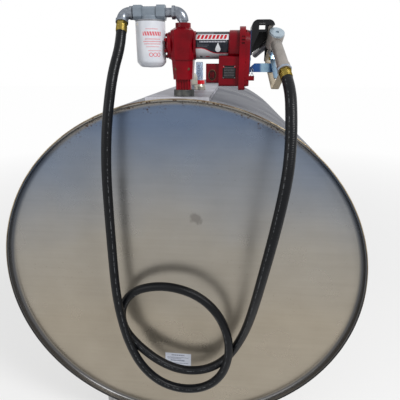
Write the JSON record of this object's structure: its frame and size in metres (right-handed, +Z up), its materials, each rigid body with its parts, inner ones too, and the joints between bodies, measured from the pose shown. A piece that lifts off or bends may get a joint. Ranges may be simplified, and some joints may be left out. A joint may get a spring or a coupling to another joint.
{
  "type": "fuel storage tank",
  "caption": "Horizontal stainless steel fuel tank on legs, with a red transfer pump, spin-on filter, looped hose and hand nozzle in its boot.",
  "frame": {"origin": "on the floor at the centre of the four anchor holes, under the middle of the tank", "axes": "+Z up, +Y from the front end with the hose to the rear end, +X to the right of someone who faces the front end"},
  "size_m": [1.36, 2.0461, 1.761],
  "materials": {
    "tank_stainless": "semi-gloss brushed stainless steel",
    "weld_steel": "weld metal, dull, with tan heat stain",
    "leg_steel": "mill-finished stainless steel",
    "pump_red": "gloss crimson paint on castings",
    "galvanised": "galvanised malleable iron",
    "filter_paint": "grey-blue paint on die cast metal",
    "can_white": "gloss white enamel",
    "brass": "machined brass, slightly dull",
    "hose_rubber": "black cloth-wrapped rubber",
    "boot_black": "black moulded plastic",
    "zinc": "blue-passivated zinc plate",
    "nozzle_alloy": "satin cast aluminium",
    "guard_ivory": "ivory moulded plastic",
    "black_plastic": "black plastic",
    "gauge_red": "red plastic",
    "gauge_clear": "clear plastic",
    "cap_grey": "dull cast aluminium"
  },
  "bodies": {
    "tank": {"shell": "tank_stainless", "mounting_plate": "tank_stainless", "front_head": "tank_stainless", "rear_head": "tank_stainless", "front_rim_weld": "weld_steel", "rear_rim_weld": "weld_steel", "leg_front_left": "leg_steel", "leg_front_right": "leg_steel", "leg_rear_left": "leg_steel", "leg_rear_right": "leg_steel", "pump_bung": "galvanised", "vent_pipe": "galvanised", "vent_cap": "cap_grey", "gauge_base": "black_plastic", "gauge_collar": "gauge_red", "gauge_tube": "gauge_clear", "pump_body": "pump_red", "pump_cover": "pump_red", "end_bell": "pump_red", "motor_flange": "pump_red", "motor_housing": "pump_red", "motor_drum": "pump_red", "junction_box": "pump_red", "switch_box": "pump_red", "inspection_plug": "pump_red", "outlet_elbow": "galvanised", "outlet_nipple": "galvanised", "filter_head": "filter_paint", "filter_can": "can_white", "filter_nipple": "galvanised", "hose_elbow": "galvanised", "hose_end_filter": "brass", "hose_end_nozzle": "brass", "hose": "hose_rubber", "nozzle_body": "nozzle_alloy", "nozzle_cap": "nozzle_alloy", "nozzle_spout": "nozzle_alloy", "nozzle_guard": "guard_ivory", "trigger_pin": "zinc", "holder_bracket": "zinc", "nozzle_boot": "boot_black"},
    "trigger": {"nozzle_trigger": "nozzle_alloy"}
  },
  "joints": [
    {"name": "trigger_hinge", "type": "hinge", "parent": "tank", "child": "trigger", "pos_m": [0.29366, -0.84183, 1.62545], "axis": [-0.9769, -0.2119, 0.0274], "range_deg": [0, 18], "stiffness_Nm_per_rad": 0.8, "springref_deg": -5.73}
  ]
}
